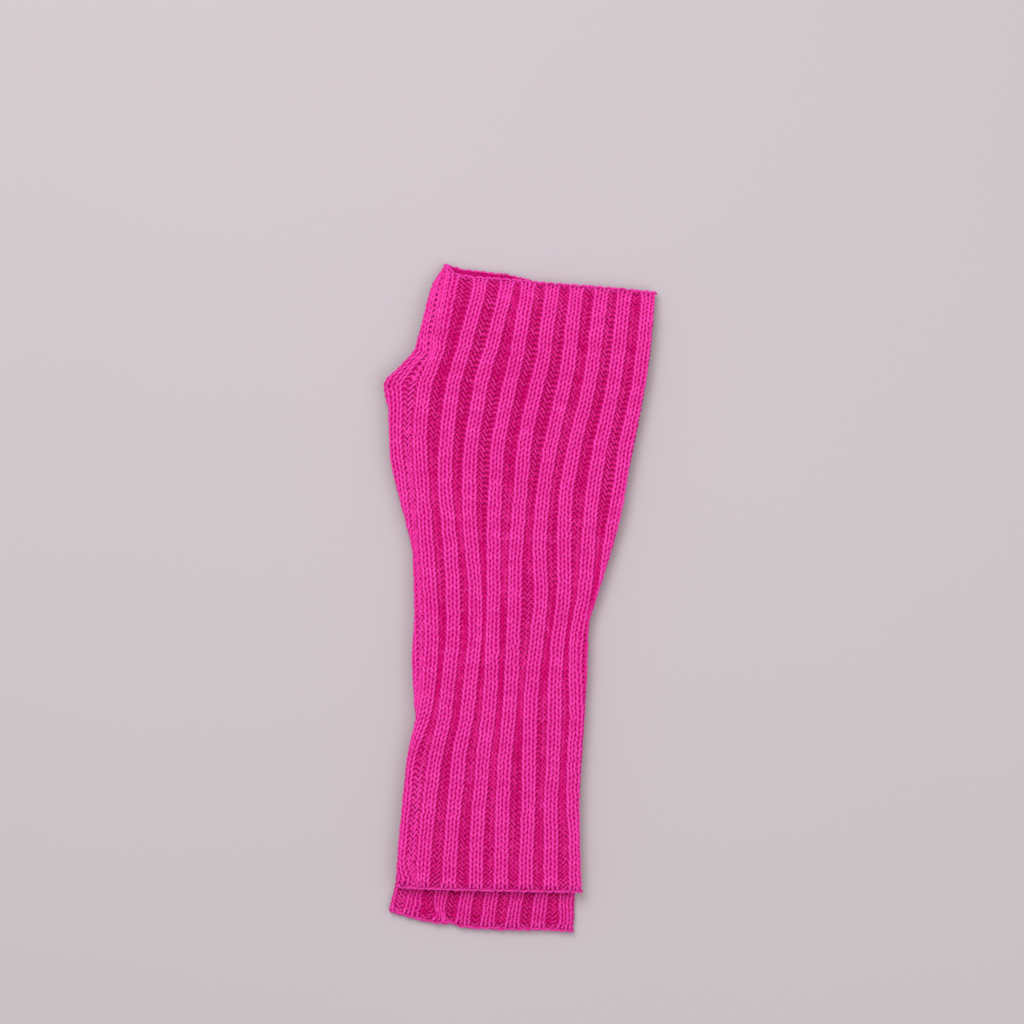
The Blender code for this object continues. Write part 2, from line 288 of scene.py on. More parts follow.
@dataclass
class Form:
    """The flattened tube of one warmer, and where each wale and course lies on it."""

    rows: Sequence[CourseRow]
    lift: float
    droop: float
    thumb_rows: tuple[int, int]
    finger_bow_front: Sequence[BowPoint]
    finger_bow_back: Sequence[BowPoint]
    arm_bow: Sequence[BowPoint]
    creases: dict[Face, Sequence[Crease]]
    bends: dict[Face, Sequence[Bend]]
    twist: float = 0.0
    # The outline, and how far its corners are rounded
    right_spread: float = 0.9
    tilt_softness: float = 8.0
    left_softness: float = 1.2
    right_softness: float = 4.0
    shared_left_softness: float = 2.5
    rib_softness: float = 7.0
    # The section, its side folds and the droop of the finger end
    tube: float = 5.5
    fold_radius: float = 1.33
    fold_arc_radius: float = 2.0
    side_inset: float = 2.75
    held_row: int = 2
    droop_start: float = 1.5
    droop_softness: float = 2.0
    # The ribs, and the channels between them
    knit_width: float = 8.1
    least_share: float = 0.5
    most_share: float = 0.79
    knit_proud: float = 0.2
    knit_hollow: float = 0.25
    purl_sunk: float = 0.9
    sink_start: float = 0.7
    sink_end: float = 1.35
    side_flatness: float = 0.75
    closed_depth: float = 0.4
    closing_share: float = 0.64
    closed_share: float = 0.78
    channel_unevenness: float = 0.12
    channel_phase: float = 2.4
    swing_length: float = 23.0
    ripple_length: float = 9.0
    # The channels that lie flat along the thumb side
    first_channel: float = 0.25
    flat_below: float = -104.0
    full_above: float = -76.0
    # The V that the channels' stitches hang in
    channel_dip: float = 2.7
    dip_reach: float = 16.0
    dip_sway: float = 0.4
    sway_length: float = 31.0
    sway_phase: float = 0.8
    dip_lean: float = 0.6
    lean_start: float = 20.0
    lean_full: float = 90.0
    lowest_limit: float = 0.75
    # The open ends
    flat_end: float = 3.5
    end_relief: float = 0.45
    end_sunk: float = 0.25
    end_flare: float = 0.22
    finger_bow_reach: float = 17.0
    arm_bow_reach: float = 27.0
    # The thumb slit, the creases and the bends
    front_mouth: float = 0.2
    back_mouth: float = 1.4
    mouth_reach: float = 4.0
    crease_ends: float = 0.35
    bend_wrap: float = 0.3
    # Worked out from the rows
    top: float = field(init=False)
    bottom: float = field(init=False)
    starts: list[float] = field(init=False)
    tilts: list[float] = field(init=False)
    tilt: Curve = field(init=False)
    left: Curve = field(init=False)
    right: Curve = field(init=False)
    slit: Spot = field(init=False)
    rib_lines: Array = field(init=False)
    seam_draw: Array = field(init=False)

    def __post_init__(self) -> None:
        """Works out the outline, the tilt of the courses and the ribs' lines."""
        slopes = [(row.right_up - row.left_up) / (row.right - row.left) for row in self.rows]
        starts = [row.left_up - slope * row.left for row, slope in zip(self.rows, slopes)]
        self.top, self.bottom = starts[0], starts[-1]
        self.starts, self.tilts = starts, slopes
        self.tilt = Curve(starts, slopes, self.tilt_softness)
        lefts = [row.left for row in self.rows]
        self.left = Curve([row.left_up for row in self.rows], lefts, self.left_softness)
        rights = [row.right + self.right_spread for row in self.rows]
        self.right = Curve([row.right_up for row in self.rows], rights, self.right_softness)
        self.slit = (starts[self.thumb_rows[1]], starts[self.thumb_rows[0]])
        self._lay_ribs()

    def _lay_ribs(self) -> None:
        """Spreads the ribs: the front ones by their rows, the rest evenly over what is left."""
        ups = self.left.ups
        upper_mids = [(row.left_up + row.right_up) / 2 for row in UPPER_ROWS]
        own_mids = [(row.left_up + row.right_up) / 2 for row in self.rows]
        as_upper = Curve(own_mids, upper_mids, self.right_softness)(ups)
        lefts, left_ups = [row.left for row in UPPER_ROWS], [row.left_up for row in UPPER_ROWS]
        rights, right_ups = [row.right for row in UPPER_ROWS], [row.right_up for row in UPPER_ROWS]
        shared_left = Curve(left_ups, lefts, self.shared_left_softness)(as_upper)
        shared_right = Curve(right_ups, rights, self.right_softness)(as_upper)
        left, right = self.left(ups), self.right(ups)
        heights = [row.up for row in RIB_ROWS]
        columns = []
        for rib in range(FRONT_RIBS):
            line = Curve(heights, [row[1 + rib] for row in RIB_ROWS], self.rib_softness)(as_upper)
            share = (line - shared_left) / (shared_right - shared_left) + self.twist
            columns.append(left + share * (right - left))
        girth = self.girth(ups)
        spare = columns[0] + girth - columns[-1]
        behind = RIBS_ROUND - FRONT_RIBS + 1
        for step in range(1, behind):
            columns.append(columns[FRONT_RIBS - 1] + spare * step / behind)
        columns.append(columns[0] + girth)
        self.rib_lines = np.stack(columns)
        last_pitch = columns[-1] - columns[-2]
        seam = columns[0] - self.knit_share(last_pitch) * last_pitch / 2
        self.seam_draw = left + self.side_inset - math.pi * self.fold_arc_radius / 2 - seam

    def knit_share(self, pitch: Array) -> Array:
        """Share of a rib's pitch that its two knit wales take."""
        return np.clip(self.knit_width / pitch, self.least_share, self.most_share)

    def girth(self, up: Array) -> Array:
        """Length all round the tube at each height."""
        flat = self.right(up) - self.left(up) - 2 * self.side_inset
        return 2 * flat + 2 * math.pi * self.fold_arc_radius

    def area(self) -> float:
        """The whole cloth's flat area, in square millimetres."""
        ups = np.arange(self.bottom, self.top, Curve.STEP)
        return float(self.girth(ups).sum()) * Curve.STEP

    def unrolled(self, rib: Array, up: Array) -> Array:
        """Turns a rib number, fractions included, into a place round the tube.

        Args:
            rib: Ribs from the first one's middle, over any number of turns.
            up: Height of each point.

        Returns:
            Distance round the tube, in the front's own X.
        """
        turns = np.floor(rib / RIBS_ROUND)
        inside = rib - turns * RIBS_ROUND
        first = np.clip(np.floor(inside).astype(int), 0, RIBS_ROUND - 1)
        between = inside - first
        last = len(self.left.ups) - 1 - Curve.END_GAP
        along = np.clip((up + Curve.REACH) / Curve.STEP, 0, last)
        row = along.astype(int)
        part = along - row
        near = self.rib_lines[first, row] * (1 - part) + self.rib_lines[first, row + 1] * part
        far = self.rib_lines[first + 1, row] * (1 - part) + self.rib_lines[first + 1, row + 1] * part
        return near * (1 - between) + far * between + turns * self.girth(up)

    def rolled(self, round_place: Array, up: Array) -> tuple[Array, Array]:
        """Turns a place round the tube into a place on its flattened section.

        Args:
            round_place: Distance round the tube, in the front's own X.
            up: Height of each point.

        Returns:
            X of the section's centre line there, and the angle that the cloth faces, 0 upwards.
        """
        left = self.left(up) + self.side_inset
        right = self.right(up) - self.side_inset
        flat, turn = right - left, math.pi * self.fold_arc_radius
        past = np.mod(round_place - left, 2 * flat + 2 * turn)
        parts = [past >= 2 * flat + turn, past >= flat + turn, past >= flat]
        across = np.select(parts, [left, right - (past - flat - turn), right], left + past)
        left_turn = math.pi + (past - 2 * flat - turn) / self.fold_arc_radius
        right_turn = (past - flat) / self.fold_arc_radius
        return across, np.select(parts, [left_turn, math.pi, right_turn], 0.0)

    def opened(self, wale: Array, course: Array) -> Array:
        """Draws the wales near the thumb slit round to the side edge, and a little apart.

        Args:
            wale: Count of wales round the tube.
            course: Height of each point's course.

        Returns:
            Distance round the tube that each point is drawn by.
        """
        low, high = self.slit
        along = np.clip((course - low) / (high - low), 0.0, 1.0)
        gape = np.sqrt(np.sin(math.pi * along))
        edge = course
        for _ in range(SETTLE_ROUNDS):
            edge = course + self.tilt(course) * self.left(edge)
        draw = np.interp(edge, self.left.ups, self.seam_draw)
        past = np.mod(wale - SEAM_WALE, WALES_ROUND)
        front = np.clip(1 - past / self.mouth_reach, 0.0, 1.0)
        back = np.clip(1 - (WALES_ROUND - past) / self.mouth_reach, 0.0, 1.0)
        return gape * ((draw + self.front_mouth) * front + (draw - self.back_mouth) * back)

    def end_bow(self, across: Array, angle: Array, course: Array) -> Array:
        """Bows the courses near each end out of straight lines.

        Args:
            across: Share of the way from the left side edge to the right one.
            angle: The way the section faces, 0 upwards.
            course: Height of each point's course.

        Returns:
            The rise up the arm, in millimetres.
        """
        front = 0.5 + 0.5 * np.cos(angle)
        share = np.clip(across, 0.0, 1.0)
        finger = [np.interp(share, *zip(*bow)) for bow in (self.finger_bow_front, self.finger_bow_back)]
        arm = np.interp(share, *zip(*self.arm_bow))
        near_finger = np.clip(1 - (self.top - course) / self.finger_bow_reach, 0.0, 1.0)
        near_arm = np.clip(1 - (course - self.bottom) / self.arm_bow_reach, 0.0, 1.0)
        return near_finger * (front * finger[0] + (1 - front) * finger[1]) + near_arm * arm

    def relief(self, wale: Array, local: Array, course: Array, angle: Array, knit: Array) -> Array:
        """Height of the cloth over the tube's face: ribs stand, channels sink, ends go flat.

        Args:
            wale: Count of wales round the tube.
            local: Wales from the middle of the nearest rib.
            course: Height of each point's course.
            angle: The way the section faces, 0 upwards.
            knit: Share of the rib's pitch that its knit wales take.

        Returns:
            How proud the cloth stands, in millimetres.
        """
        sunk = smooth_step(self.sink_start, self.sink_end, np.abs(local))
        crown = self.knit_proud - self.knit_hollow * (1 - np.minimum(np.abs(local), 1.0))
        number = channel_number(wale)
        ripple = np.sin(course / self.ripple_length)
        swing = np.sin(self.channel_phase * number + course / self.swing_length + ripple)
        uneven = 1 + self.channel_unevenness * swing
        closed = 1 + self.closed_depth * smooth_step(self.closing_share, self.closed_share, knit)
        channel = self.purl_sunk * uneven * closed * self.flatness(number, course)
        channel = channel * (1 - self.side_flatness * np.sin(angle) ** 2)
        depth = crown * (1 - sunk) - channel * sunk
        full = self.full_depth(course)
        return depth * mixed(self.end_relief, 1, full) - self.end_sunk * (1 - full)

    def full_depth(self, course: Array) -> Array:
        """Rises from 0 at the open ends to 1 where the ribs have their whole depth."""
        return smooth_step(0.0, self.flat_end, np.minimum(self.top - course, course - self.bottom))

    def lowest(self, wale: Array, course: Array) -> Array:
        """Finds where a channel's stitches hang lowest.

        Args:
            wale: Count of wales round the tube.
            course: Height of each point's course.

        Returns:
            The place across the channel, from -1 at its left edge to 1 at its right one.
        """
        number = channel_number(wale)
        lean = self.dip_lean * smooth_step(self.lean_start, self.lean_full, course)
        swing = np.sin(self.channel_phase * number + course / self.sway_length - self.sway_phase)
        lowest = lean * np.where(number < 1, -1.0, 1.0) + self.dip_sway * swing
        return np.clip(lowest, -self.lowest_limit, self.lowest_limit)

    def dip(self, wale: Array, local: Array, course: Array) -> Array:
        """How far a channel's stitches hang below its ribs, in a V that leans one way or the other.

        Args:
            wale: Count of wales round the tube.
            local: Wales from the middle of the nearest rib.
            course: Height of each point's course.

        Returns:
            The drop down the arm, in millimetres.
        """
        across = local - WALES_PER_RIB / 2 * np.sign(local)
        lowest = self.lowest(wale, course)
        share = np.minimum((1 + across) / (1 + lowest), (1 - across) / (1 - lowest))
        inside = np.minimum(self.top - course, course - self.bottom)
        kept = smooth_step(0.0, self.dip_reach, inside)
        return self.channel_dip * kept * np.where(np.abs(local) > 1, share, 0.0)

    def flatness(self, number: Array, course: Array) -> Array:
        """Share of its depth that a channel keeps where it lies flat along the thumb side."""
        second = mixed(self.first_channel, 1, smooth_step(self.flat_below, self.full_above, course))
        return np.where(number < 1, self.first_channel, np.where(number < 2, second, 1.0))

    def crease_depth(self, x: Array, y: Array, angle: Array) -> Array:
        """Adds up how far the creases press the cloth in.

        Args:
            x: Place across the flat tube.
            y: Place up the arm.
            angle: The way the section faces, 0 upwards.

        Returns:
            The depth of the creases at each point, in millimetres.
        """
        pressed = np.zeros_like(x)
        for face, creases in self.creases.items():
            facing = np.clip(face.value * np.cos(angle), 0.0, 1.0)
            for crease in creases:
                start, end = np.array(crease.start), np.array(crease.end)
                line = end - start
                along = ((x - start[0]) * line[0] + (y - start[1]) * line[1]) / (line @ line)
                kept = np.clip(along, 0.0, 1.0)
                away = np.hypot(x - start[0] - kept * line[0], y - start[1] - kept * line[1])
                tapered = mixed(self.crease_ends, 1, np.sin(math.pi * kept))
                pressed += crease.depth * facing * tapered * np.exp(-((away / crease.width) ** 2))
        return pressed

    def place(self, wale: Array, course: Array, proud: Array, least: float = -1.0) -> Laid:
        """Lays points of the flat knitting on the tube.

        Args:
            wale: Count of wales round the tube, fractions included.
            course: Height of the point's course where it crosses the middle, shifted along the wale.
            proud: Distance out of the cloth's middle face.
            least: How near a point may come to the tube's middle.

        Returns:
            The points, with their facing and height.
        """
        drawn = self.opened(wale, course)
        rib = np.round(wale / WALES_PER_RIB)
        local = from_rib(wale)
        pitch = self.unrolled(rib + 0.5, course) - self.unrolled(rib - 0.5, course)
        flare = 1 + self.end_flare * (1 - self.full_depth(course))
        knit = self.knit_share(pitch) * flare
        course = course - self.dip(wale, local, course)
        inner = local * knit / 2
        outer = np.sign(local) * (knit / 2 + (np.abs(local) - 1) * (1 - knit) / 2)
        rib_place = rib + np.where(np.abs(local) <= 1, inner, outer)
        up = course
        for _ in range(SETTLE_ROUNDS):
            across, angle = self.rolled(self.unrolled(rib_place, up) + drawn, up)
            across = across + self.fold_radius * np.sin(angle)
            left, right = self.left(up), self.right(up)
            bow = self.end_bow((across - left) / (right - left), angle, course)
            up = course + self.tilt(course) * across + bow
        pressed = self.crease_depth(across, up, angle)
        height = self.relief(wale, local, course, angle, knit) + proud
        radius = np.maximum(self.fold_radius + height - pressed, least)
        x = across + (radius - self.fold_radius) * np.sin(angle)
        for face, bends in self.bends.items():
            facing = np.clip(self.bend_wrap + face.value * np.cos(angle), 0.0, 1.0)
            for bend in bends:
                away = np.hypot(x - bend.place[0], up - bend.place[1])
                share = facing * np.exp(-((away / bend.reach) ** 2))
                x, up = x + bend.shift[0] * share, up + bend.shift[1] * share
        held = self.starts[self.held_row] + self.tilts[self.held_row] * x
        past = up - held - self.droop_start
        dropped = self.droop * 0.5 * (past + np.sqrt(past * past + self.droop_softness ** 2))
        z = self.lift + self.tube / 2 + radius * np.cos(angle) - dropped
        facing = np.stack([np.sin(angle), np.zeros_like(angle), np.cos(angle)], axis=-1)
        return Laid(np.stack([x, up, z], axis=-1), facing, height)


@dataclass(frozen=True)
class Gauge:
    """How the yarn is knitted: its thickness and the shape of one loop."""

    course: float = 2.83
    yarn_radius: float = 0.79
    purl_radius: float = 0.8
    swelling: float = 0.08
    purl_swelling: float = 0.08
    rise: float = 1.95
    purl_rise: float = 0.85
    lean: float = 0.19
    purl_lean: float = 0.02
    depth: float = 0.42
    purl_depth: float = 0.12
    purl_slant_depth: float = 0.5
    purl_lift: float = 0.1
    purl_from: float = 0.86
    purl_to: float = 1.14
    skew: float = 0.12
    slant_sharpness: float = 3.0
    steps: int = 10
    sides: int = 5
    wander: float = 0.19
    sway: float = 0.05
    swell: float = 0.06
    end_margin: float = 0.3
    tone_spread: float = 0.2


@dataclass(frozen=True)
class Loop:
    """One loop of an edge chain: how its two legs run, spread, stand out and thicken, and how light
    they are painted.
    """

    steps: int = 6
    overlap: float = 0.3
    apart: float = 0.1
    spread: float = 0.6
    scallop: float = 0.85
    sunk: float = 0.3
    stray: float = 0.12
    thin: float = 0.55
    plump: float = 0.2
    # The height that sets each leg's painted shade, and how much it rises along the leg: the chain is
    # painted lighter towards each leg's end
    height: float = 0.5
    climb: float = 0.6


class YarnMesh:
    """Gathers tubes of yarn and joins them into one mesh."""

    # Room on the bake map for the end caps and between two tubes
    CAP_SPACE = 0.02
    CAP_RADII = (0.006, 0.3)
    BAND_SPACE = 0.05
    # The height above which yarn is in full light, and how far below it is in full shade
    CREST = 1.4
    SHADE_REACH = 1.65

    def __init__(self, sides: int) -> None:
        """Starts an empty mesh of tubes with that many sides."""
        self.sides = sides
        self.points: list[Array] = []
        self.loops: list[Array] = []
        self.sizes: list[Array] = []
        self.bake: list[Array] = []
        self.ply: list[Array] = []
        self.tone: list[Array] = []
        self.shade: list[Array] = []
        self.count = 0
        self.tubes = 0

    def add(self, path: Array, facing: Array, radius: Array, height: Array, tone: float = 0.5) -> None:
        """Adds one tube with closed ends.

        Args:
            path: Points of the strand's middle, in millimetres.
            facing: Direction out of the cloth at each.
            radius: The strand's radius at each.
            height: How proud of the cloth each point is taken to be, which sets how dark its painted
                shade is.
            tone: Shade of this strand, 0 to 1.
        """
        number = len(path)
        heading = unit(np.gradient(path, axis=0))
        side = unit(np.cross(heading, facing))
        out = np.cross(side, heading)
        turn = np.arange(self.sides) * 2 * math.pi / self.sides
        ring = np.cos(turn)[None, :, None] * side[:, None] + np.sin(turn)[None, :, None] * out[:, None]
        radii = np.broadcast_to(np.asarray(radius, float), (number,))
        self.points.append((path[:, None] + radii[:, None, None] * ring).reshape(-1, 3))
        row, column = np.meshgrid(np.arange(number - 1), np.arange(self.sides), indexing="ij")
        following = (column + 1) % self.sides
        corners = np.stack([row * self.sides + column, (row + 1) * self.sides + column,
                            (row + 1) * self.sides + following, row * self.sides + following], axis=-1)
        self.loops.append(corners.reshape(-1) + self.count)
        start_cap = np.arange(self.sides)
        end_cap = (number - 1) * self.sides + np.arange(self.sides)[::-1]
        self.loops.append(np.concatenate([start_cap, end_cap]) + self.count)
        self.sizes.append(np.full((number - 1) * self.sides, 4))
        self.sizes.append(np.full(2, self.sides))
        along = self.CAP_SPACE + (1 - 2 * self.CAP_SPACE) * np.arange(number) / (number - 1)
        share = np.stack([column, column, column + 1, column + 1], axis=-1) / self.sides
        band = self.tubes + self.BAND_SPACE + (1 - 2 * self.BAND_SPACE) * share
        quads = np.stack([self.at_corners(along, row), band], axis=-1).reshape(-1, 2)
        small = np.stack([np.cos(turn), np.sin(turn)], axis=-1) * self.CAP_RADII
        first = small + (self.CAP_SPACE / 2, self.tubes + 0.5)
        last = small[::-1] + (1 - self.CAP_SPACE / 2, self.tubes + 0.5)
        self.bake.extend([quads, first, last])
        length = np.concatenate([[0.0], np.cumsum(np.linalg.norm(np.diff(path, axis=0), axis=-1))])
        self.ply.append(np.stack([self.at_corners(length, row), share], axis=-1).reshape(-1, 2))
        self.ply.append(np.zeros((2 * self.sides, 2)))
        self.tone.append(np.full(number * self.sides, tone))
        # Painted shade: the lower a point of the tube lies, the darker its colour, so crests and the
        # tube's outer side are painted lighter
        level = height[:, None] + radii[:, None] * np.sin(turn)[None]
        self.shade.append(np.clip((self.CREST - level) / self.SHADE_REACH, 0.0, 1.0).ravel())
        self.count += number * self.sides
        self.tubes += 1

    @staticmethod
    def at_corners(values: Array, row: Array) -> Array:
        """Each ring's value at the four corners of the quads that start in its row."""
        return np.stack([values[row], values[row + 1], values[row + 1], values[row]], axis=-1)

    def build(self, name: str) -> bpy.types.Object:
        """Joins the tubes into one object, in metres.

        Args:
            name: The object's name.

        Returns:
            The object, with its two UV maps and its tone and shade.
        """
        mesh = bpy.data.meshes.new(name)
        points, corners = np.concatenate(self.points) * MM, np.concatenate(self.loops)
        points[:, 2] = np.maximum(points[:, 2], 0.0)
        sizes = np.concatenate(self.sizes)
        mesh.vertices.add(len(points))
        mesh.vertices.foreach_set("co", points.astype(np.float32).ravel())
        mesh.loops.add(len(corners))
        mesh.loops.foreach_set("vertex_index", corners.astype(np.int32))
        mesh.polygons.add(len(sizes))
        starts = np.concatenate([[0], np.cumsum(sizes)[:-1]])
        mesh.polygons.foreach_set("loop_start", starts.astype(np.int32))
        bake = np.concatenate(self.bake)
        bake[:, 1] /= self.tubes
        for label, places in (("OFBake", bake), ("ply", np.concatenate(self.ply))):
            layer = mesh.uv_layers.new(name=label)
            layer.uv.foreach_set("vector", places.astype(np.float32).ravel())
        for label, parts in (("tone", self.tone), ("shade", self.shade)):
            layer = mesh.attributes.new(label, "FLOAT", "POINT")
            layer.data.foreach_set("value", np.concatenate(parts).astype(np.float32))
        mesh.update(calc_edges=True)
        mesh.shade_smooth()
        return put(name, mesh)


class Wire:
    """A shader socket that takes part in arithmetic."""

    def __init__(self, graph: "Graph", socket: Any) -> None:
        """Wraps an output socket of the graph."""
        self.graph = graph
        self.socket = socket

    def __add__(self, other: Any) -> "Wire":
        """Sum."""
        return self.graph.maths("ADD", self, other)

    def __sub__(self, other: Any) -> "Wire":
        """Difference."""
        return self.graph.maths("SUBTRACT", self, other)

    def __rsub__(self, other: Any) -> "Wire":
        """Difference from a number."""
        return self.graph.maths("SUBTRACT", other, self)

    def __mul__(self, other: Any) -> "Wire":
        """Product."""
        return self.graph.maths("MULTIPLY", self, other)

    def sine(self) -> "Wire":
        """Sine of the value."""
        return self.graph.maths("SINE", self)


class Graph:
    """The nodes of one material."""

    def __init__(self, name: str) -> None:
        """Starts a material with nothing but its output."""
        self.material = bpy.data.materials.new(name)
        self.material.use_nodes = True
        self.tree = self.material.node_tree
        self.tree.nodes.clear()

    def node(self, kind: str, settings: dict | None = None, inputs: dict | None = None) -> Any:
        """Adds a node.

        Args:
            kind: The node's type.
            settings: Its own settings, set first.
            inputs: Values or wires for its sockets, by name or number.

        Returns:
            The node.
        """
        made = self.tree.nodes.new(kind)
        for key, value in (settings or {}).items():
            setattr(made, key, value)
        for key, value in (inputs or {}).items():
            if isinstance(value, Wire):
                self.tree.links.new(value.socket, made.inputs[key])
            else:
                made.inputs[key].default_value = value
        return made

    def out(self, made: Any, socket: str | int = 0) -> Wire:
        """Wraps one output of a node."""
        return Wire(self, made.outputs[socket])

    def maths(self, operation: str, *values: Any) -> Wire:
        """Adds a Math node on wires or numbers."""
        return self.out(self.node("ShaderNodeMath", {"operation": operation}, dict(enumerate(values))))

    def blend(self, share: Any, first: Any, second: Any) -> Wire:
        """Mixes two colours."""
        made = self.node("ShaderNodeMix", {"data_type": "RGBA"}, {0: share, 6: first, 7: second})
        return self.out(made, 2)

    def finish(self, shader: Any) -> bpy.types.Material:
        """Joins the shader to the output."""
        end = self.node("ShaderNodeOutputMaterial")
        self.tree.links.new(shader.outputs[0], end.inputs["Surface"])
        return self.material


@dataclass(frozen=True)
class YarnFinish:
    """Hot pink acrylic yarn of two plies, soft and a little hairy, with painted shade: its colour goes
    from the lit colour to the deep one as the yarn lies lower.
    """

    name: str
    # The colour where the yarn is lit, and its painted shade colour where it lies deep
    light: Colour
    deep: Colour
    roughness: float = 0.78
    sheen: float = 0.06
    sheen_tint: Colour = (1.0, 0.45, 0.8, 1.0)
    tone_grain: float = 0.16
    fibre_grain: float = 0.16
    ply_grain: float = 0.04
    ply_relief: float = 0.6
    fibre_relief: float = 0.5
    ply_pitch: float = 2.4
    ply_height: float = 0.00012
    fibre_scale: float = 2600.0

    def material(self) -> bpy.types.Material:
        """Builds the material."""
        graph = Graph(self.name)
        ply_map = graph.node("ShaderNodeUVMap", {"uv_map": "ply"})
        parts = graph.node("ShaderNodeSeparateXYZ", inputs={0: graph.out(ply_map)})
        along, around = graph.out(parts, 0), graph.out(parts, 1)
        twist = (along * (2 * math.pi / self.ply_pitch) + around * (4 * math.pi)).sine()
        place = graph.out(graph.node("ShaderNodeTexCoord"), "Object")
        fibre = graph.out(graph.node("ShaderNodeTexNoise", inputs={
            "Vector": place, "Scale": self.fibre_scale, "Detail": 3.0, "Roughness": 0.6}), 0)
        tone = graph.out(graph.node("ShaderNodeAttribute", {"attribute_name": "tone"}), "Fac")
        shade = graph.out(graph.node("ShaderNodeAttribute", {"attribute_name": "shade"}), "Fac")
        grain = tone * self.tone_grain + fibre * self.fibre_grain + twist * self.ply_grain
        evened = grain - (self.tone_grain + self.fibre_grain) / 2
        # Painted shade: the shade attribute mixes the lit colour towards the deep one, with the yarn's
        # own grain on top
        colour = graph.blend(shade + evened, self.light, self.deep)
        height = twist * self.ply_relief + fibre * self.fibre_relief
        bump = graph.node("ShaderNodeBump", inputs={
            "Strength": 0.6, "Distance": self.ply_height, "Height": height})
        shader = graph.node("ShaderNodeBsdfPrincipled", inputs={
            "Base Color": colour, "Roughness": self.roughness, "Sheen Weight": self.sheen,
            "Sheen Roughness": 0.4, "Sheen Tint": self.sheen_tint,
            "Specular IOR Level": 0.04, "Normal": graph.out(bump)})
        return graph.finish(shader)


@dataclass(frozen=True)
class ClothFinish:
    """The same yarn behind the stitches, painted darker for the shade it stands in."""

    name: str
    # Both painted darker than the yarn for the shade behind the stitches: the first on the ribs, the
    # second in the channels
    light: Colour
    deep: Colour
    sheen_tint: Colour = (1.0, 0.3, 0.7, 1.0)
    stitch_scale: float = 900.0
    fibre_scale: float = 2600.0
    grain: float = 0.2
    fibre_relief: float = 0.3

    def material(self) -> bpy.types.Material:
        """Builds the material."""
        graph = Graph(self.name)
        place = graph.out(graph.node("ShaderNodeTexCoord"), "Object")
        loops = graph.out(graph.node("ShaderNodeTexVoronoi", {"feature": "SMOOTH_F1"}, {
            "Vector": place, "Scale": self.stitch_scale}), 0)
        fibre = graph.out(graph.node("ShaderNodeTexNoise", inputs={
            "Vector": place, "Scale": self.fibre_scale, "Detail": 3.0}), 0)
        shade = graph.out(graph.node("ShaderNodeAttribute", {"attribute_name": "shade"}), "Fac")
        # Painted shade: darker in the channels by the shade attribute, and darker towards the edges of
        # the loop cells, between the loops that the bump draws; the fibre noise is the yarn's own grain
        grain = loops * self.grain + fibre * self.grain - self.grain
        colour = graph.blend(shade + grain, self.light, self.deep)
        bump = graph.node("ShaderNodeBump", inputs={
            "Strength": 0.7, "Distance": 0.0004, "Height": 1.0 - loops + fibre * self.fibre_relief})
        shader = graph.node("ShaderNodeBsdfPrincipled", inputs={
            "Base Color": colour, "Roughness": 0.85, "Sheen Weight": 0.05,
            "Sheen Tint": self.sheen_tint, "Specular IOR Level": 0.05, "Normal": graph.out(bump)})
        return graph.finish(shader)


@dataclass(frozen=True)
class FloorFinish:
    """Plain pale paper."""

    name: str
    colour: Colour
    cloud_scale: float = 3.0
    cloud_shade: float = 0.97

    def material(self) -> bpy.types.Material:
        """Builds the material."""
        graph = Graph(self.name)
        place = graph.out(graph.node("ShaderNodeTexCoord"), "Object")
        cloud = graph.out(graph.node("ShaderNodeTexNoise", inputs={
            "Vector": place, "Scale": self.cloud_scale}), 0)
        deep = tuple(self.cloud_shade * part for part in self.colour[:3]) + (1.0,)
        shader = graph.node("ShaderNodeBsdfPrincipled", inputs={
            "Base Color": graph.blend(cloud, self.colour, deep), "Roughness": 0.8,
            "Specular IOR Level": 0.2})
        return graph.finish(shader)


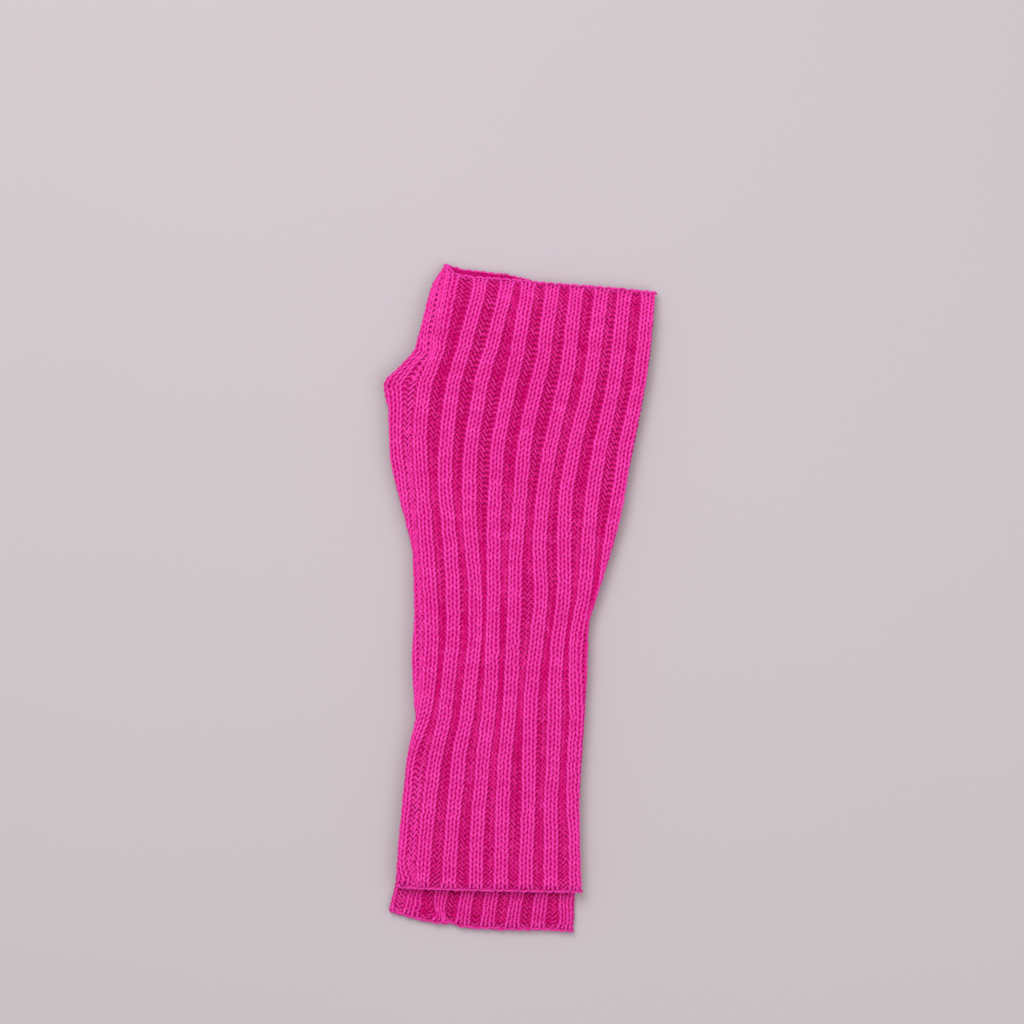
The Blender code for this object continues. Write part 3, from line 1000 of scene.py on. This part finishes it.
@dataclass
class Warmer:
    """One arm warmer: its knitting, its edges and the cloth behind them."""

    name: str
    form: Form
    gauge: Gauge
    shown: Face
    seed: int
    yarn: bpy.types.Material
    # A copy of the yarn painted a little paler where lit, for the pale light along the edges
    lit_edge_yarn: bpy.types.Material
    backing: bpy.types.Material
    # How much of each course is knitted
    finger_full: int = 3
    arm_full: int = 3
    zones: int = 4
    edge_courses: int = 1
    lip_wales: int = 6
    wrap: float = 2.5
    # The edge chains and the lips of the thumb slit
    loop: Loop = Loop()
    lip_proud: float = 0.1
    lip_inside: float = 0.4
    lip_ends: float = 0.2
    # The cloth behind the stitches
    hem: float = 0.4
    rib_sunk: float = 0.1
    channel_sunk: float = 0.4
    channel_from: float = 0.8
    channel_to: float = 1.2
    cloth_least: float = 0.16
    cloth_thickness: float = 0.14
    weld: float = 0.02
    # Worked out, and gathered as it is built
    number: int = field(init=False)
    pitch: float = field(init=False)
    random: np.random.Generator = field(init=False)
    pieces: list[bpy.types.Object] = field(default_factory=list)

    def __post_init__(self) -> None:
        """Sets the courses' heights."""
        form = self.form
        self.number = round((form.top - form.bottom) / self.gauge.course)
        self.pitch = (form.top - form.bottom) / self.number
        self.random = np.random.default_rng(self.seed)

    def course_up(self, index: int) -> float:
        """Height of a course, counted from the arm end."""
        return self.form.bottom + (index + 0.5) * self.pitch

    def wale_spans(self, index: int) -> list[tuple[int, int]]:
        """Stretches that a course is knitted over.

        Args:
            index: The course, counted from the arm end.

        Returns:
            The first and last wale of each stretch: what shows, and the hidden lip at the thumb slit.
        """
        form, up = self.form, np.array([self.course_up(index)])
        low, high = form.slit
        cut = low < up[0] < high
        seam, round_again = SEAM_WALE, SEAM_WALE + WALES_ROUND
        if index < self.arm_full or index >= self.number - self.finger_full:
            return [(seam, round_again)]
        wales = np.arange(-WALES_ROUND, 2 * WALES_ROUND)
        ups = np.repeat(up, len(wales))
        places = form.unrolled(wales / WALES_PER_RIB, ups)
        left, right = form.left(up)[0] + form.side_inset, form.right(up)[0] - form.side_inset
        turn = math.pi * form.fold_arc_radius
        if self.shown is Face.FRONT:
            low_place, high_place = left - turn - self.wrap, right + turn + self.wrap
        else:
            low_place, high_place = right - self.wrap, 2 * right - left + 2 * turn + self.wrap
        inside = wales[(places > low_place) & (places < high_place)]
        first, last = int(inside[0]), int(inside[-1])
        if not cut:
            return [(first, last)]
        if self.shown is Face.FRONT:
            return [(seam, last), (round_again - self.lip_wales, round_again)]
        return [(first, round_again), (seam, seam + self.lip_wales)]

    def knit_course(self, mesh: YarnMesh, index: int) -> None:
        """Adds one course's strands to a mesh."""
        for first, last in self.wale_spans(index):
            self.knit_strand(mesh, index, first, last)

    def knit_strand(self, mesh: YarnMesh, index: int, first: int, last: int) -> None:
        """Adds one strand to a mesh.

        Args:
            mesh: Where the strand goes.
            index: Its course, counted from the arm end.
            first: The wale that it starts at.
            last: The wale that it ends at.
        """
        gauge, form = self.gauge, self.form
        wales = np.linspace(first, last, (last - first) * gauge.steps + 1)
        turn = 2 * math.pi * wales
        stitches = np.arange(first - 1, last + 2)
        slips, sways, swells = self.random.normal(0.0, 1.0, (3, len(stitches)))
        purl = smooth_step(gauge.purl_from, gauge.purl_to, np.abs(from_rib(wales)))
        up = self.course_up(index)
        across = wales - WALES_PER_RIB * np.floor(wales / WALES_PER_RIB) - WALES_PER_RIB / 2
        lowest = form.lowest(wales, np.full(len(wales), up))
        slant = np.tanh(gauge.slant_sharpness * (lowest - across))
        drift = gauge.skew * slant * purl * np.cos(turn)
        lean = mixed(gauge.lean, gauge.purl_lean, purl) * np.sin(2 * turn)
        wale = wales + lean + drift + gauge.sway * np.interp(wales, stitches + 0.5, sways)
        wander = gauge.wander * np.interp(wales, stitches + 0.5, slips)
        rise = mixed(gauge.rise, gauge.purl_rise, purl)
        limits = form.bottom + gauge.end_margin, form.top - gauge.end_margin
        course = np.clip(up - rise * np.cos(turn) + wander, *limits)
        swell = gauge.swell * np.interp(wales, stitches + 0.5, swells)
        depth = mixed(gauge.depth, -gauge.purl_depth, purl)
        over = gauge.purl_slant_depth * slant * purl * np.sin(turn)
        proud = swell + gauge.purl_lift * purl - depth * np.cos(2 * turn) - over
        laid = form.place(wale, course, proud)
        plump = mixed(gauge.yarn_radius, gauge.purl_radius, purl)
        swelling = mixed(gauge.swelling, -gauge.purl_swelling, purl)
        radius = plump * (1 + swell - swelling * np.cos(2 * turn))
        tone = float(np.clip(0.5 + gauge.tone_spread * self.random.normal(), 0, 1))
        mesh.add(laid.points, laid.facing, radius, laid.height, tone)

    def knit(self) -> None:
        """Knits the body of the warmer, in a few stretches."""
        body = range(self.edge_courses, self.number - self.edge_courses)
        names = ("arm", "wrist", "thumb", "finger")
        groups = np.array_split(np.array(body), self.zones)
        for label, group in zip(names[-self.zones:], groups):
            mesh = YarnMesh(self.gauge.sides)
            for index in group:
                self.knit_course(mesh, int(index))
            self._keep(mesh.build(f"{self.name}_{label}_stitches"), self.yarn)

    def chain(self, mesh: YarnMesh, anchors: Array, facing: Array, out: Array) -> None:
        """Adds an edge chain: for each stitch two legs that spread and meet again in the next.

        Args:
            mesh: Where the legs go.
            anchors: Points along the edge, one for each stitch.
            facing: Direction out of the cloth at each.
            out: Direction away from the cloth's edge at each.
        """
        loop = self.loop
        share = np.linspace(0.0, 1.0, loop.steps)
        arch = np.sin(math.pi * share)
        run = mixed(-loop.overlap, 1, share)
        radius = self.gauge.yarn_radius * (loop.thin + loop.plump * arch)
        # Painted shade: the legs are shaded as if this proud, lighter along each leg
        height = loop.height + loop.climb * share
        along = np.gradient(anchors, axis=0)
        for n in range(len(anchors)):
            for side in (-1.0, 1.0):
                forward = run[:, None] * along[n]
                spread = side * (loop.apart + loop.spread * arch)[:, None] * facing[n]
                rise = loop.scallop * arch - loop.sunk + loop.stray * self.random.normal()
                path = anchors[n] + forward + spread + rise[:, None] * out[n]
                tone = self.random.random()
                mesh.add(path, np.repeat(out[n][None], loop.steps, 0), radius, height, tone)

    def bind_end(self, end: End) -> None:
        """Makes the knitted edge of one open end: its last course and the chain on it.

        Args:
            end: Which end it is.
        """
        mesh, form = YarnMesh(self.gauge.sides), self.form
        at_finger = end is End.FINGER
        for step in range(self.edge_courses):
            self.knit_course(mesh, self.number - 1 - step if at_finger else step)
        wales = np.arange(SEAM_WALE, SEAM_WALE + WALES_ROUND) + 0.5
        up = np.full(len(wales), form.top if at_finger else form.bottom)
        laid = form.place(wales, up, np.zeros(len(wales)))
        out = np.repeat(np.array([[0.0, end.value, 0.0]]), len(wales), 0)
        self.chain(mesh, laid.points, laid.facing, out)
        label = end.name.lower()
        piece = mesh.build(f"{self.name}_{label}_edge_stitches")
        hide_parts(f"{self.name}_{label}_edge")
        self._keep(piece, self.lit_edge_yarn)

    def bind_thumb(self) -> None:
        """Makes the two lips of the thumb slit."""
        mesh, form = YarnMesh(self.gauge.sides), self.form
        low, high = form.slit
        number = int((high - low) / self.pitch)
        along = (np.arange(number) + 0.5) / number
        ups = low + along * (high - low)
        stood_off = mixed(self.lip_ends, 1, np.sqrt(np.sin(math.pi * along)))[:, None]
        proud = np.full(number, self.lip_proud)
        for wale, sign in ((SEAM_WALE, -1.0), (SEAM_WALE + WALES_ROUND - SEAM_GAP, 1.0)):
            wales = np.full(number, float(wale))
            lip = form.place(wales, ups, proud)
            inner = form.place(wales - sign * self.lip_inside, ups, proud)
            self.chain(mesh, lip.points, lip.facing, stood_off * unit(lip.points - inner.points))
        piece = mesh.build(f"{self.name}_thumb_lip_stitches")
        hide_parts(f"{self.name}_thumb_edge")
        self._keep(piece, self.lit_edge_yarn)

    def back_cloth(self) -> bpy.types.Object:
        """Returns:
            The cloth.
        """
        form = self.form
        grid = bmesh.new()
        bmesh.ops.create_grid(grid, x_segments=2 * WALES_ROUND, y_segments=self.number // 2, size=0.5)
        shade = grid.verts.layers.float.new("shade")
        flat = np.array([vert.co for vert in grid.verts])
        wales = SEAM_WALE + (flat[:, 0] + 0.5) * (WALES_ROUND - SEAM_GAP)
        length = form.top - form.bottom
        courses = form.bottom + self.hem + (flat[:, 1] + 0.5) * (length - 2 * self.hem)
        channel = smooth_step(self.channel_from, self.channel_to, np.abs(from_rib(wales)))
        sunk = mixed(self.rib_sunk, self.channel_sunk, channel)
        laid = form.place(wales, courses, -sunk, least=self.cloth_least)
        # Painted shade on the cloth: darker in the channels, less so in those that lie flat
        shades = channel * form.flatness(np.floor(wales / WALES_PER_RIB), courses)
        for vert, place, deep in zip(grid.verts, laid.points * MM, shades):
            vert.co = place
            vert[shade] = deep
        bmesh.ops.remove_doubles(grid, verts=grid.verts, dist=self.weld * MM)
        bmesh.ops.solidify(grid, geom=grid.faces, thickness=self.cloth_thickness * MM)
        mesh = bpy.data.meshes.new(f"{self.name}_cloth")
        grid.to_mesh(mesh)
        grid.free()
        mesh.shade_smooth()
        piece = put(mesh.name, mesh)
        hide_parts(f"{self.name}_front", f"{self.name}_back")
        self._keep(piece, self.backing)
        width = float(form.girth(np.arange(form.bottom, form.top)).max())
        length * MM
        form.area() * MM * MM
        LOG.info("%s: cut %.0f by %.0f mm", piece.name, width, length)
        return piece

    def _keep(self, piece: bpy.types.Object, finish: bpy.types.Material) -> None:
        """Dresses a piece and sets it on the one body.

        Args:
            piece: The piece.
            finish: Its material.
        """
        piece.data.materials.append(finish)
        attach(piece, "root")
        self.pieces.append(piece)
        LOG.info("%s: %d faces", piece.name, len(piece.data.polygons))

    def build(self, rests_on: Sequence[str]) -> bpy.types.Object:
        """Makes the whole warmer.

        Args:
            rests_on: Names of the sheets that it lies on; not used.

        Returns:
            Its cloth.
        """
        self.knit()
        self.bind_end(End.FINGER)
        self.bind_end(End.ARM)
        self.bind_thumb()
        return self.back_cloth()


class Lamp(NamedTuple):
    """A square soft light: where it hangs, in metres, how wide it is, and its power."""

    name: str
    place: tuple[float, float, float]
    size: float
    power: float


@dataclass
class Studio:
    """Pale floor, soft light from above and the camera straight over the pair."""

    key: Lamp = Lamp("key_light", (-0.45, 0.75, 1.5), 1.0, 18.0)
    fill: Lamp = Lamp("fill_light", (0.7, -0.3, 1.4), 1.2, 7.0)
    sky_colour: Colour = (1.0, 0.99, 1.0, 1.0)
    sky_strength: float = 0.5
    floor_size: float = 3.0
    camera_height: float = 2.0
    clip: Spot = (0.1, 10.0)
    sensor: float = 36.0
    finish: FloorFinish = FloorFinish("pale_paper", (0.54, 0.485, 0.51, 1.0))

    def floor(self) -> None:
        """Lays the floor just under the pair."""
        sheet = bmesh.new()
        bmesh.ops.create_grid(sheet, x_segments=1, y_segments=1, size=self.floor_size / 2)
        mesh = bpy.data.meshes.new("floor")
        sheet.to_mesh(mesh)
        sheet.free()
        mesh.materials.append(self.finish.material())
        piece = put("floor", mesh)

    def light(self, lamp: Lamp) -> None:
        """Hangs one light that points at the pair.

        Args:
            lamp: The light.
        """
        glow = bpy.data.lights.new(lamp.name, "AREA")
        glow.shape = "SQUARE"
        glow.size = lamp.size
        glow.energy = lamp.power
        holder = put(lamp.name, glow)
        holder.location = lamp.place
        aim = -holder.location
        holder.rotation_mode = "QUATERNION"
        holder.rotation_quaternion = aim.to_track_quat("-Z", "Y")

    def camera(self) -> None:
        """Sets the camera over the middle of the photograph's frame."""
        eye = bpy.data.cameras.new("camera")
        eye.sensor_width = self.sensor
        wide = FRAME_PIXELS * MM_PER_PIXEL * MM
        eye.lens = self.sensor * self.camera_height / wide
        eye.clip_start, eye.clip_end = self.clip
        holder = put("camera", eye)
        middle = FRAME_PIXELS / 2
        across = (middle - ORIGIN_PIXEL[0]) * MM_PER_PIXEL * MM
        up = (ORIGIN_PIXEL[1] - middle) * MM_PER_PIXEL * MM
        holder.location = (across, up, self.camera_height)
        bpy.context.scene.camera = holder

    def build(self) -> None:
        """Sets up the floor, lights, sky and camera."""
        self.floor()
        self.light(self.key)
        self.light(self.fill)
        sky = bpy.data.worlds.new("studio")
        sky.use_nodes = True
        backdrop = sky.node_tree.nodes["Background"]
        backdrop.inputs["Color"].default_value = self.sky_colour
        backdrop.inputs["Strength"].default_value = self.sky_strength
        bpy.context.scene.world = sky
        bpy.context.scene.view_settings.view_transform = "Standard"
        self.camera()


def upper_form() -> Form:
    """The upper warmer's form, creased and bent as it lies."""
    return Form(
        rows=UPPER_ROWS,
        lift=5.8,
        droop=0.233,
        thumb_rows=(3, 7),
        finger_bow_front=(BowPoint(0.0, 0.0), BowPoint(0.08, -4.4), BowPoint(0.15, -5.4),
                          BowPoint(0.33, -4.3), BowPoint(0.55, -3.6), BowPoint(0.75, -2.2),
                          BowPoint(1.0, -1.4)),
        finger_bow_back=(BowPoint(0.0, 0.0), BowPoint(0.1, -1.9), BowPoint(0.33, -1.8),
                         BowPoint(0.5, -4.6), BowPoint(0.8, -3.2), BowPoint(1.0, -1.4)),
        arm_bow=(BowPoint(0.0, 0.6), BowPoint(0.05, -0.9), BowPoint(0.5, 0.0), BowPoint(1.0, 1.4)),
        creases={Face.FRONT: (
            Crease((-46.0, -52.0), (-53.0, -78.0), 0.8, 3.0),
            Crease((-57.0, 40.0), (-50.0, -6.0), 0.45, 4.0),
            Crease((43.0, 18.0), (30.0, -22.0), 0.4, 4.5),
            Crease((-44.0, 128.0), (-58.0, 122.0), 0.4, 3.5),
            Crease((-51.0, 139.0), (-49.0, 128.0), 0.6, 2.5),
        )},
        bends={Face.FRONT: (
            Bend((-62.0, -153.0), (3.2, 0.5), 5.0),
            Bend((-52.0, 134.0), (1.2, -1.0), 5.0),
            Bend((-20.0, 60.0), (0.8, 0.6), 14.0),
            Bend((12.0, 20.0), (-0.7, 0.8), 16.0),
            Bend((-28.0, -96.0), (0.7, -0.6), 13.0),
            Bend((20.0, -110.0), (-0.6, 0.5), 12.0),
            Bend((30.0, 120.0), (0.7, 0.7), 14.0),
        )},
    )


def lower_form() -> Form:
    """The lower warmer's form, creased and bent as it lies."""
    return Form(
        rows=LOWER_ROWS,
        lift=0.0,
        droop=0.0,
        thumb_rows=(2, 6),
        finger_bow_front=(BowPoint(0.0, 0.0), BowPoint(0.3, -1.5), BowPoint(0.7, -1.0),
                          BowPoint(1.0, 0.0)),
        finger_bow_back=(BowPoint(0.0, 0.0), BowPoint(0.3, -0.8), BowPoint(0.7, -0.5),
                         BowPoint(1.0, 0.0)),
        arm_bow=(BowPoint(0.0, 0.6), BowPoint(0.13, -1.4), BowPoint(0.21, -2.6), BowPoint(0.34, -2.0),
                 BowPoint(0.42, -3.4), BowPoint(0.56, -2.8), BowPoint(0.87, 0.6), BowPoint(1.0, 1.2)),
        creases={
            Face.FRONT: (
                Crease((-56.0, -166.0), (-48.0, -178.0), 1.4, 1.3),
                Crease((-52.0, -165.0), (-44.0, -177.0), 1.4, 1.3),
                Crease((-54.0, -165.0), (-46.0, -177.5), -0.5, 1.2),
            ),
            Face.BACK: (
                Crease((-47.0, -50.0), (-54.0, -74.0), 0.7, 3.0),
                Crease((40.0, 14.0), (27.0, -24.0), 0.5, 4.0),
                Crease((-30.0, 96.0), (-12.0, 70.0), 0.4, 4.5),
            ),
        },
        bends={
            Face.FRONT: (
                Bend((-51.0, -168.0), (3.0, -1.5), 4.5),
                Bend((-45.0, -173.0), (2.5, -1.0), 3.5),
                Bend((22.0, -174.0), (1.5, 0.0), 6.0),
            ),
            Face.BACK: (
                Bend((-24.0, 40.0), (0.8, -0.7), 14.0),
                Bend((8.0, -84.0), (-0.8, 0.6), 13.0),
                Bend((16.0, 104.0), (0.7, 0.7), 15.0),
            ),
        },
        twist=-0.025,
    )


def main() -> None:
    """Builds the studio and the two warmers, the lower one first."""
    logging.basicConfig(level=logging.INFO, format="%(message)s")
    Studio().build()
    # Each yarn finish: its lit colour, then its painted shade colour where the yarn lies deep
    yarn = YarnFinish("hot_pink_yarn", (0.93, 0.060, 0.46, 1.0), (0.60, 0.001, 0.155, 1.0))
    # The edges' yarn is a copy of the same yarn, its lit colour painted a little paler for the pale
    # light along the open edges
    edge = YarnFinish("hot_pink_lit_edge_yarn", (0.94, 0.070, 0.49, 1.0), (0.55, 0.004, 0.16, 1.0))
    # The cloth's two colours are painted darker than the yarn's, for the shade behind the stitches
    backing = ClothFinish("shaded_pink_knit", (0.60, 0.001, 0.205, 1.0), (0.50, 0.001, 0.115, 1.0))
    finishes = [finish.material() for finish in (yarn, edge, backing)]
    lower = Warmer("lower", lower_form(), Gauge(steps=8, sides=4), Face.BACK, LOWER_SEED, *finishes,
                   arm_full=11, zones=3, loop=Loop(stray=0.25))
    lower.build([])
    upper = Warmer("upper", upper_form(), Gauge(), Face.FRONT, UPPER_SEED, *finishes,
                   finger_full=9, wrap=4.5)
    upper.build(["lower_cloth"])


if __name__ == "__main__":
    main()
